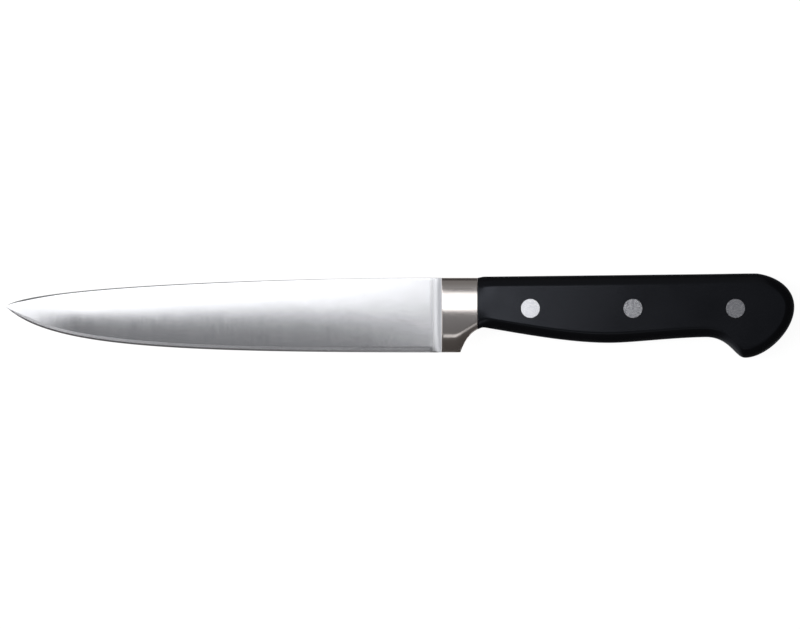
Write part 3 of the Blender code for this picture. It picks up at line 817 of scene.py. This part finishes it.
# white paper that keeps part of the shadow; eyes and mirrors see most of it as plain white
paper, paperTree = newMaterial("white_paper")
sheet = addNode(paperTree, "ShaderNodeBsdfPrincipled", inputs={
    "Base Color": linear(stageSet["paper"]), "Roughness": stageSet["paperRoughness"], "Specular IOR Level": 0})
paths = addNode(paperTree, "ShaderNodeLightPath")
seen = addNode(paperTree, "ShaderNodeMath", {"operation": "MAXIMUM"}, {
    0: paths.outputs["Is Camera Ray"], 1: paths.outputs["Is Glossy Ray"]})
seen = addNode(paperTree, "ShaderNodeMath", {"operation": "MAXIMUM"}, {
    0: seen.outputs[0], 1: paths.outputs["Is Transmission Ray"]})
white = addNode(paperTree, "ShaderNodeMath", {"operation": "MULTIPLY"}, {
    0: seen.outputs[0], 1: 1 - stageSet["paperShare"]})
glow = addNode(paperTree, "ShaderNodeEmission", inputs={"Color": (1, 1, 1, 1), "Strength": stageSet["glow"]})
lit = addNode(paperTree, "ShaderNodeMixShader", inputs={
    0: white.outputs[0], 1: sheet.outputs[0], 2: glow.outputs[0]})
addNode(paperTree, "ShaderNodeOutputMaterial", inputs={"Surface": lit.outputs[0]})
floorData.materials.append(paper)

skyTones = ((0, "#4c4947"), (0.6, "#5b5856"), (0.9, "#737373"), (1, "#8c8c8e"))  # by height, horizon to zenith
leftWall = {"tone": "#b2b2b4", "starts": 0.3, "full": 0.7}  # a pale wall off the knife's tip
world = bpy.data.worlds.new("studio")
bpy.context.scene.world = world
world.use_nodes = True
worldTree = world.node_tree
worldTree.nodes.clear()
direction = addNode(worldTree, "ShaderNodeTexCoord")
split = addNode(worldTree, "ShaderNodeSeparateXYZ", inputs={0: direction.outputs["Generated"]})
sky = addNode(worldTree, "ShaderNodeValToRGB", inputs={0: split.outputs["Z"]})
ramp = sky.color_ramp.elements
for place, (height, colour) in enumerate(skyTones):
    stop = ramp[place] if place < 2 else ramp.new(height)  # a ramp starts with two stops
    stop.position, stop.color = height, linear(colour)
towards = addNode(worldTree, "ShaderNodeMapRange", {"interpolation_type": "SMOOTHSTEP"}, {
    "Value": split.outputs["X"], "From Min": -leftWall["starts"], "From Max": -leftWall["full"],
    "To Min": 0, "To Max": 1})
room = addNode(worldTree, "ShaderNodeMix", {"data_type": "RGBA"}, {
    "Factor": towards.outputs["Result"], "A": sky.outputs["Color"], "B": linear(leftWall["tone"])})
background = addNode(worldTree, "ShaderNodeBackground", inputs={"Color": room.outputs["Result"]})
addNode(worldTree, "ShaderNodeOutputWorld", inputs={"Surface": background.outputs[0]})

softboxes = {  # place, aim and size in metres, radiance, turn in degrees
    "overhead_softbox": ((-0.17, 0.0598, 0.5), (-0.17, 0.0598, 0), (0.47, 0.145), 2.2, -4.8),
    "left_softbox": ((-0.79, 0, 0.62), (0, 0, 0), (1.1, 0.72), 1.5, 0),
    "bolster_strip": ((0.0406, -0.339, 0.51), (0.0206, -0.006, 0.01), (0.1, 0.12), 0.9, 0),
    "choil_strip": ((0.146, -0.339, 0.51), (0.0206, -0.006, 0.01), (0.11, 0.11), 0.42, 0),
    "back_fill": ((0.02, 0.575, 0.555), (0.02, 0, 0), (0.7, 0.87), 0.17, 0)}
for name, (place, aim, size, radiance, turn) in softboxes.items():
    light = bpy.data.lights.new(name, "AREA")
    light.shape = "RECTANGLE"
    light.size, light.size_y = size
    light.energy = radiance * math.pi * size[0] * size[1]
    lamp = linked(name, light)
    lamp.location = place
    facing = (Vector(aim) - Vector(place)).to_track_quat("-Z", "Y")
    lamp.rotation_euler = (facing @ Quaternion((0, 0, 1), math.radians(turn))).to_euler()
    lamp.visible_camera = False

photo = {"width": 800, "mmPerPixel": 0.3495, "centre": (-14.5, -12.83), "distance": 6, "sensor": 36}
lens = bpy.data.cameras.new("photo_camera")
lens.sensor_fit = "HORIZONTAL"
lens.sensor_width = photo["sensor"]
lens.lens = photo["sensor"] * photo["distance"] / (photo["width"] * photo["mmPerPixel"] * mm)
camera = linked("photo_camera", lens)
camera.location = datum + Vector((photo["centre"][0] * mm, photo["centre"][1] * mm, photo["distance"]))
bpy.context.scene.camera = camera
bpy.context.scene.view_settings.view_transform = "Standard"
print("stage ready")
